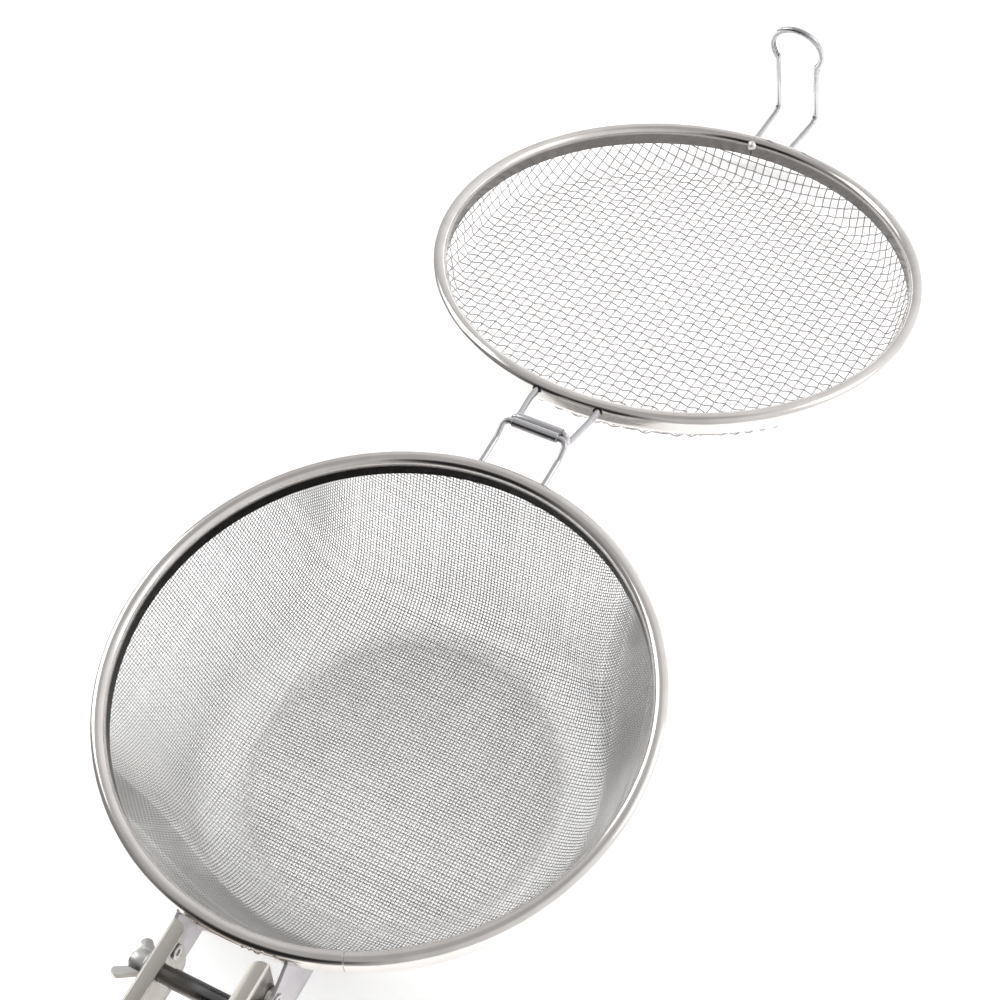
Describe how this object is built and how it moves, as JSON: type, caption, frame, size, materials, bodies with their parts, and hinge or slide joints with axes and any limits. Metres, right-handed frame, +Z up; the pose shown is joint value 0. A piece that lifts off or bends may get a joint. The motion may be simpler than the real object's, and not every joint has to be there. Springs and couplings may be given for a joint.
{
  "type": "stovetop coffee bean roaster",
  "caption": "Round wire-mesh basket with a hinged mesh lid, a keyhole wire latch and a folding two-rail handle locked by a wing nut, shaken over a stove to roast beans.",
  "frame": {"origin": "centre of the basket's flat underside, on the table", "axes": "+Z up along the basket's axis, handle along -Y, lid hinge on the +Y side, +X to the right seen from the handle"},
  "size_m": [0.156, 0.6395, 0.0584],
  "materials": {
    "mesh_wire": "fine plain-weave stainless wire, slightly bright",
    "lid_wire": "coarse crimped stainless wire weave",
    "rolled_rim": "smooth rolled stainless sheet, polished",
    "bent_wire": "drawn stainless wire",
    "plate_steel": "pickled plain steel plate",
    "rail_steel": "satin rolled steel sheet",
    "zinc_hardware": "plain zinc-plated fasteners",
    "dark_tube": "dark gunmetal tube with lengthwise streaks",
    "grip_wood": "oiled hardwood"
  },
  "bodies": {
    "basket": {"basket_mesh": "mesh_wire", "basket_rim": "rolled_rim", "basket_hoop": "bent_wire", "hinge_sleeve": "rolled_rim", "bracket_left": "plate_steel", "bracket_right": "plate_steel", "pivot_rivet_left": "zinc_hardware", "pivot_rivet_right": "zinc_hardware", "pivot_washers": "zinc_hardware"},
    "lid": {"lid_mesh": "lid_wire", "lid_rim": "rolled_rim", "lid_hoop": "bent_wire", "latch_loop": "bent_wire"},
    "handle": {"arm_left": "rail_steel", "arm_right": "rail_steel", "cross_rod": "dark_tube", "lock_bolt": "zinc_hardware", "head_washer": "zinc_hardware", "grip": "grip_wood", "grip_rivets": "zinc_hardware"},
    "nut_washer": {"nut_washer": "zinc_hardware"},
    "wing_nut": {"wing_nut": "zinc_hardware"}
  },
  "joints": [
    {"name": "lid_hinge", "type": "hinge", "parent": "basket", "child": "lid", "pos_m": [0, 0.09488, 0.05578], "axis": [1, 0, 0], "range_deg": [0, 194.27]},
    {"name": "handle_fold", "type": "hinge", "parent": "basket", "child": "handle", "pos_m": [0, -0.0834, 0.0444], "axis": [1, 0, 0], "range_deg": [0, 90]},
    {"name": "nut_travel", "type": "slide", "parent": "handle", "child": "nut_washer", "axis": [-1, 0, 0], "range_m": [0, 0.0014]},
    {"name": "wing_nut_turn", "type": "hinge", "parent": "nut_washer", "child": "wing_nut", "pos_m": [-0.0198, -0.09, 0.0449], "axis": [-1, 0, 0], "range_deg": [0, 720]}
  ],
  "couplings": [
    {"joint": "wing_nut_turn", "follows": "nut_travel", "rad_per_m": 8975.1}
  ]
}
